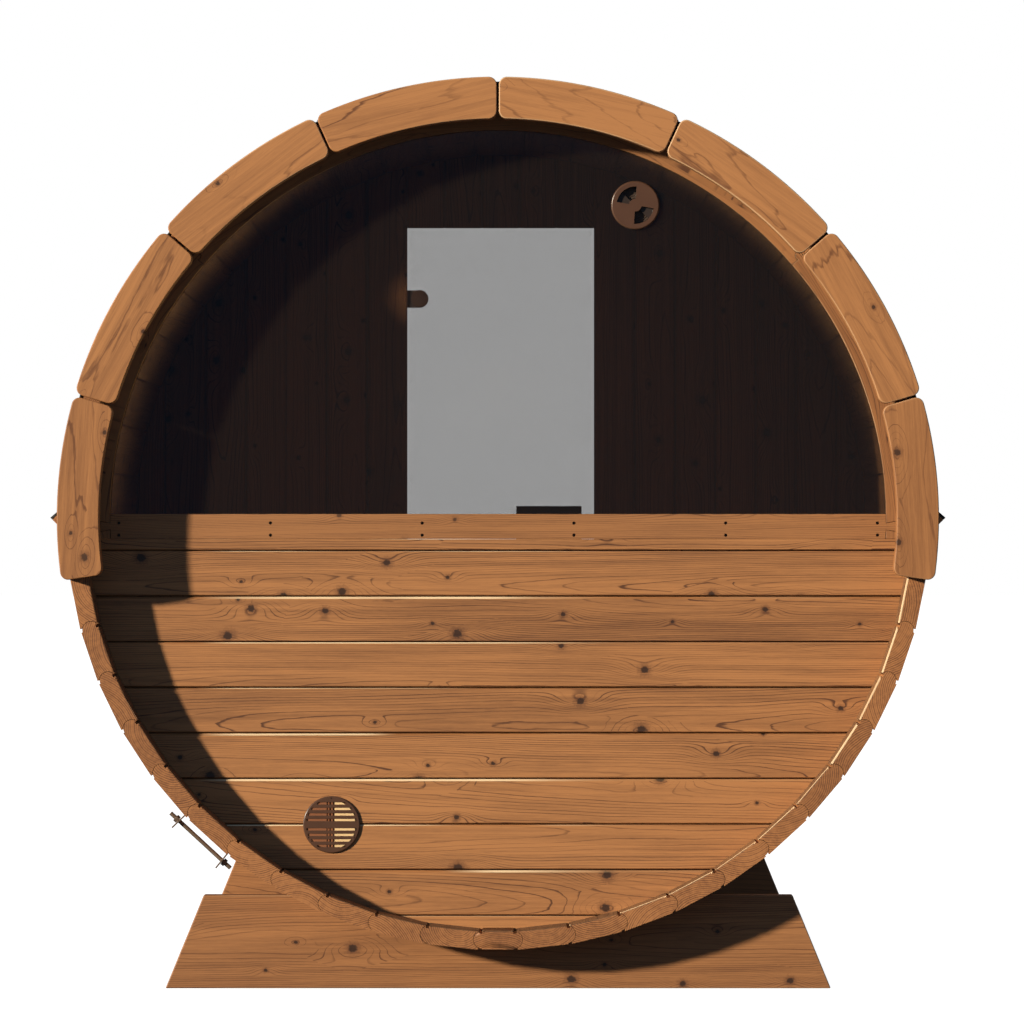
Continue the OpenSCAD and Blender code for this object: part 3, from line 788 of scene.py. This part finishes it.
WIDE_COVER = 0.107
for side, sign in (("left", -1), ("right", 1)):
    wall = take(f"door_wall_{side}", "door_wall_source")
    low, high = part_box(f"door_wall_{side}")
    inner_x = low.x if sign > 0 else high.x
    outer_x = high.x if sign > 0 else low.x
    seams = []
    at = inner_x + sign * WIDE_COVER
    while abs(at) < abs(outer_x) - 0.02:
        seams.append(at)
        at += sign * WIDE_COVER
    edges = [inner_x - sign * BOARD_GAP / 2] + seams + [outer_x + sign * BOARD_GAP / 2]
    boards = []
    for i, pair in enumerate(zip(edges, edges[1:])):
        boards.append(plank(wall, f"upright_{side}_{i}", (1, 0, 0), min(pair), max(pair),
                            (0, 0, 1), (1, 0, 0)))
    strips = tongues(wall, f"upright_tongue_{side}", (1, 0, 0), seams,
                     (low.y + TONGUE_IN, high.y - TONGUE_IN))
    for strip in strips:
        set_grain(strip, (0, 0, 1), (1, 0, 0))
    boards = join(boards + strips, f"door_wall_{side}_boards")
    place(boards, wall_timber, BARREL, "wall_wood", f"door_wall_{side}")
    bpy.data.objects.remove(wall)

for part in ("door_wall_head", "door_wall_sill"):
    wall = take(part, "door_wall_source")
    low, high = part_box(part)
    cover = (high.x - low.x) / 5
    seams = [low.x + cover * i for i in range(1, 5)]
    edges = [low.x - BOARD_GAP / 2] + seams + [high.x + BOARD_GAP / 2]
    boards = [plank(wall, f"{part}_{i}", (1, 0, 0), a, b, (0, 0, 1), (1, 0, 0))
              for i, (a, b) in enumerate(zip(edges, edges[1:]))]
    strips = tongues(wall, part + "_tongue", (1, 0, 0), seams, (low.y + TONGUE_IN, high.y - TONGUE_IN))
    for strip in strips:
        set_grain(strip, (0, 0, 1), (1, 0, 0))
    boards = join(boards + strips, part + "_boards")
    place(boards, wall_timber, BARREL, "wall_wood", part)
    bpy.data.objects.remove(wall)

# ---- Door fittings ----------------------------------------------------------------------
# Bronze-coated glass-door hinges, with a leaf on the wall and a strap with round clamping
# discs on the pane, and two square pull plates of dark oiled wood on round posts.

hinge_bronze, start, shader = new_finish("hinge_bronze", Metallic=0.5, Roughness=0.45)
patch = start.node("ShaderNodeTexCoord", output="Object").scaled(60).noise(3)
feed(shader, Base_Color=patch.blend((0.22, 0.11, 0.065), (0.34, 0.18, 0.11)),
     Roughness=0.38 + patch * 0.2)
leaves = take("hinge_leaves", "hinge_leaf_castings")
ease_edges(leaves, 0.0008, 2, 40)
place(leaves, hinge_bronze, BARREL, "hinge_bronze", "hinge_leaves")
clamps = take("hinge_clamps", "hinge_clamp_castings")
ease_edges(clamps, 0.0010, 2, 40)
place(clamps, hinge_bronze, "door", "hinge_bronze", "hinge_clamps")

dark_timber = timber("dark_timber", (0.050, 0.026, 0.014), (0.018, 0.010, 0.006), 0.0, 0.1)
pulls = take("door_pulls", "door_pull_plates")
ease_edges(pulls, 0.0035, 3, 40)
set_grain(pulls, (0, 0, 1), (1, 0, 0))
place(pulls, dark_timber, "door", "dark_wood", "door_pulls")

# ---- Cradles ----------------------------------------------------------------------------
# Two thick boards on edge, hollowed on a bandsaw to the barrel's curve, that carry it
# clear of the ground.

cradle_timber = timber("cradle_timber", (0.400, 0.164, 0.055), (0.125, 0.041, 0.0120), 1.0, 0.12)
for end in ("window", "door"):
    cradle = take(f"{end}_cradle", f"{end}_cradle_board")
    ease_edges(cradle, 0.003, 3, 25)
    set_grain(cradle, (1, 0, 0), (0, 0, 1))
    place(cradle, cradle_timber, BARREL, "cradle_wood", f"{end}_cradle")

# ---- Steel bands ------------------------------------------------------------------------
# Two steel straps draw the staves together, each tightened by a threaded rod through a pair
# of welded tabs. The steel has a dark brown coating.

band_steel, start, shader = new_finish("band_steel", Metallic=0.7, Roughness=0.45)
patch = start.node("ShaderNodeTexCoord", output="Object").scaled(35).noise(4)
feed(shader, Base_Color=patch.blend((0.13, 0.085, 0.060), (0.30, 0.21, 0.15)),
     Roughness=0.36 + patch * 0.25)
bands = take("steel_bands", "steel_straps")
ease_edges(bands, 0.0006, 1, 40)
place(bands, band_steel, BARREL, "band_steel", "steel_bands")
rods = take("band_rods", "tensioning_rods")
ease_edges(rods, 0.0006, 1, 40)
place(rods, band_steel, BARREL, "rod_steel", "band_rods")

# ---- Roof -------------------------------------------------------------------------------
# Dark bitumen felt with a mineral surface covers the upper half of the barrel, turned out
# over a three-cornered batten on each side so that rain drips clear.

battens = take("side_battens", "side_batten_timbers")
sides = parts_of(battens)
for batten in sides:
    ease_edges(batten, 0.001, 1, 40)
    set_grain(batten, ALONG_Y, (0, 0, 1))
battens = join(sides, "side_batten_timbers")
place(battens, cradle_timber, BARREL, "wall_wood", "side_battens")

felt, start, shader = new_finish("roofing_felt", Roughness=0.95)
where = start.node("ShaderNodeTexCoord", output="Object")
grit, patch = where.scaled(700).noise(), where.scaled(5).noise(4)
shade = grit.blend((0.012, 0.010, 0.009), (0.052, 0.046, 0.042))
shade = (patch * 0.5).blend(shade, (0.5, 0.48, 0.46), "MULTIPLY")
bump = start.node("ShaderNodeBump", {}, {"Strength": 0.6, "Distance": 0.001, "Height": grit})
feed(shader, Base_Color=shade, Normal=bump)
FELT_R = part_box("roof_felt")[1].z - AXIS_Z
COURSE_TURN = math.radians(8.15)
COURSES = 10
TABS = 6
TAB_GAP = 0.005
TAB_TOP, TAB_UNDER = 0.0002, 0.0050
TAB_THINNED = 0.0030
FELT_SUNK = 0.0042
roof = take("roof_felt", "roof_felt_sheet")
for vertex in roof.data.vertices:
    out = vertex.co - AXIS
    out.y = 0
    if abs(out.length - FELT_R) < 0.0005:
        vertex.co -= out.normalized() * FELT_SUNK
ease_edges(roof, 0.0008, 1, 40)


def shingle_tab(name, length):
    """One tab against the ridge: thin at its upper edge, thick at the lower one, which it ends."""
    bpy.ops.mesh.primitive_plane_add(size=1, location=(0, 0, 0))
    tab = bpy.context.active_object
    tab.name = tab.data.name = name
    up = Vector((0, 0, 1))
    for vertex in tab.data.vertices:
        radius = FELT_R - (TAB_TOP if vertex.co.x > 0 else TAB_UNDER)
        vertex.co = AXIS + up * radius + ALONG_Y * (length - TAB_GAP if vertex.co.y > 0 else 0)
    edit(tab)
    bpy.ops.mesh.spin(steps=3, angle=-COURSE_TURN, center=AXIS, axis=ALONG_Y)
    bpy.ops.mesh.select_all(action="SELECT")
    bpy.ops.mesh.remove_doubles(threshold=TOUCH)
    bpy.ops.mesh.normals_make_consistent(inside=False)
    leave()
    for vertex in tab.data.vertices:
        out = vertex.co - AXIS
        out.y = 0
        if out.length > FELT_R - 0.001:
            turned = math.atan2(out.x, out.z) / COURSE_TURN
            vertex.co -= out.normalized() * TAB_THINNED * (1 - turned)
    return tab


def course(name, first_y, count, halves):
    """A row of tabs along the barrel, with half a tab at each end of every other row."""
    pitch = 2 * END_Y / TABS
    row = shingle_tab(name, pitch)
    finish_with(row, "ARRAY", count=count, use_relative_offset=False, use_constant_offset=True,
                constant_offset_displace=(0, pitch, 0))
    edit(row)
    bpy.ops.transform.translate(value=(0, first_y, 0))
    leave()
    pieces = [row]
    for at in halves:
        half = shingle_tab(name + "_half", pitch / 2)
        edit(half)
        bpy.ops.transform.translate(value=(0, at, 0))
        leave()
        pieces.append(half)
    return join(pieces, name)


pitch = 2 * END_Y / TABS
first_y = -END_Y + TAB_GAP / 2
rows = [course("whole_row", first_y, TABS, ()),
        course("half_row", first_y + pitch / 2, TABS - 1, (first_y, END_Y - pitch / 2 + TAB_GAP / 2))]
shingles = []
for i in [-0.5, *range(COURSES)]:  # the first row lies over the ridge
    only(rows[int(i) % 2])
    bpy.ops.object.duplicate()
    row = bpy.context.active_object
    edit(row)
    bpy.ops.transform.rotate(value=-COURSE_TURN * i, orient_axis="Y", center_override=AXIS)
    leave()
    shingles.append(row)
right = join(shingles, "shingles_right")
only(right)
bpy.ops.object.duplicate()
left = bpy.context.active_object
edit(left)
bpy.ops.transform.mirror(constraint_axis=(True, False, False), center_override=(0, 0, 0))
bpy.ops.mesh.normals_make_consistent(inside=False)
leave()
for row in rows:
    bpy.data.objects.remove(row)
roof = join([roof, right, left], "roof_felt_and_shingles")
place(roof, felt, BARREL, "roof_felt", "roof_felt")

# ---- Floor ------------------------------------------------------------------------------
# Loose floor boards on three joists shaped to the barrel, just under the door sill.

floor_timber = timber("floor_timber", (0.46, 0.21, 0.085), (0.18, 0.065, 0.022), 0.6)
parts = parts_of(take("floor", "floor_source"))
parts.sort(key=lambda p: -p.dimensions.y)
deck, joists = parts[0], parts[1:]
spots = np.array([v.co for v in deck.data.vertices])
low, high = Vector(spots.min(0)), Vector(spots.max(0))
FLOOR_BOARDS = 9
FLOOR_GAP = 0.006
cover = (high.x - low.x) / FLOOR_BOARDS
boards = []
for i in range(FLOOR_BOARDS):
    a, b = low.x + cover * i, low.x + cover * (i + 1)
    board = cut_board(deck, f"floor_board_{i}", (1, 0, 0), a + FLOOR_GAP / 2, b - FLOOR_GAP / 2)
    ease_edges(board, 0.003, 2, 30)
    set_grain(board, ALONG_Y, (1, 0, 0))
    boards.append(board)
bpy.data.objects.remove(deck)
for joist in joists:
    ease_edges(joist, 0.001, 1, 40)
    set_grain(joist, (1, 0, 0), (0, 0, 1))
floor_boards = join(boards + joists, "floor_boards_and_joists")
place(floor_boards, floor_timber, BARREL, "floor_wood", "floor")

# ---- Studio -----------------------------------------------------------------------------
# A plain pale floor and surround, a low warm key lamp from the front left, a weak broad one
# from behind, two small ones in the cabin, a narrow one on the upper hinge, and a long lens
# level with the barrel.

bpy.ops.mesh.primitive_plane_add(size=160, location=(0, 0, 0))
ground = bpy.context.active_object
ground.name = "studio_floor"
material, start, shader = new_finish("studio_floor", Roughness=1.0, Specular_IOR_Level=0.0)
shader.inputs["Base Color"].default_value = (0.11, 0.12, 0.13, 1)
seen = start.node("ShaderNodeLightPath", output="Is Camera Ray")
bright = start.node("ShaderNodeBsdfDiffuse", {}, {"Color": (0.34, 0.34, 0.34)})
glow = start.node("ShaderNodeEmission", {}, {"Color": (1, 1, 1), "Strength": 0.94})
lit = start.node("ShaderNodeAddShader", {}, {0: bright, 1: glow})
both = start.node("ShaderNodeMixShader", {}, {0: seen, 2: lit})
both.tree.links.new(shader.outputs[0], both.socket.node.inputs[1])
both.tree.links.new(both.socket, both.tree.nodes["Material Output"].inputs["Surface"])
ground.data.materials.append(material)

world = bpy.data.worlds.new("studio")
bpy.context.scene.world = world
world.use_nodes = True
start = Wire(world.node_tree)
seen = start.node("ShaderNodeLightPath", output="Is Camera Ray")
background = world.node_tree.nodes["Background"]
background.inputs["Strength"].default_value = 1.0
sky = seen.blend((0.092, 0.150, 0.240), (1.0, 1.0, 1.0))
world.node_tree.links.new(sky.socket, background.inputs["Color"])


def lamp(name, kind, energy, colour, size, travel, spot=(0, 0, 0)):
    """A lamp that shines along travel. Its size is an angle for a sun, in degrees."""
    light = bpy.data.lights.new(name, kind)
    light.energy, light.color = energy, colour
    if kind == "SUN":
        light.angle = math.radians(size)
    elif kind == "SPOT":
        light.shadow_soft_size = size
    else:
        light.size = size
    holder = bpy.data.objects.new(name, light)
    holder.location = spot
    holder.rotation_euler = Vector(travel).to_track_quat("-Z", "Y").to_euler()
    holder.visible_camera = holder.visible_glossy = False
    bpy.context.scene.collection.objects.link(holder)
    return holder


key = lamp("key", "SUN", 5.75, (1.0, 0.93, 0.76), 2.8, (1.43, 1.0, -0.44))
key.visible_glossy = True
lamp("back", "SUN", 1.1, (1.0, 0.97, 0.93), 35, (-0.8, -1.0, -0.75))
for side, travel in (("left", (-1, 0, 0.3)), ("right", (1, 0, 0.45))):
    panel = lamp("cabin_" + side, "AREA", 2.7, (0.82, 0.97, 0.96), 0.9, travel,
                 (0, -0.45, AXIS_Z + 0.25))
    panel.data.spread = math.radians(90)
    panel.data.shape, panel.data.size_y = "RECTANGLE", 0.2
low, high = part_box("hinge_clamps")
hinge = (low + high) / 2
hinge.z = high.z - 0.023
gleam = lamp("hinge_gleam", "SPOT", 90, (1.0, 0.95, 0.90), 0.05, (0.31, hinge.y + 0.5, 0),
             (hinge.x - 0.3, -0.5, hinge.z))
gleam.data.spot_size, gleam.data.spot_blend = math.radians(3.4), 0.3

camera = bpy.data.cameras.new("camera")
camera.lens = 198.6
camera.sensor_width = 36
camera.clip_end = 200
viewer = bpy.data.objects.new("camera", camera)
CAMERA_AWAY = 13.19
viewer.location = (0.053, -END_Y - CAMERA_AWAY, AXIS_Z - 0.0325)
aim = Vector((0.033, -END_Y - 0.042, AXIS_Z + 0.013)) - viewer.location
viewer.rotation_euler = aim.to_track_quat("-Z", "Y").to_euler()
bpy.context.scene.collection.objects.link(viewer)
bpy.context.scene.camera = viewer
bpy.context.scene.view_settings.view_transform = "Standard"
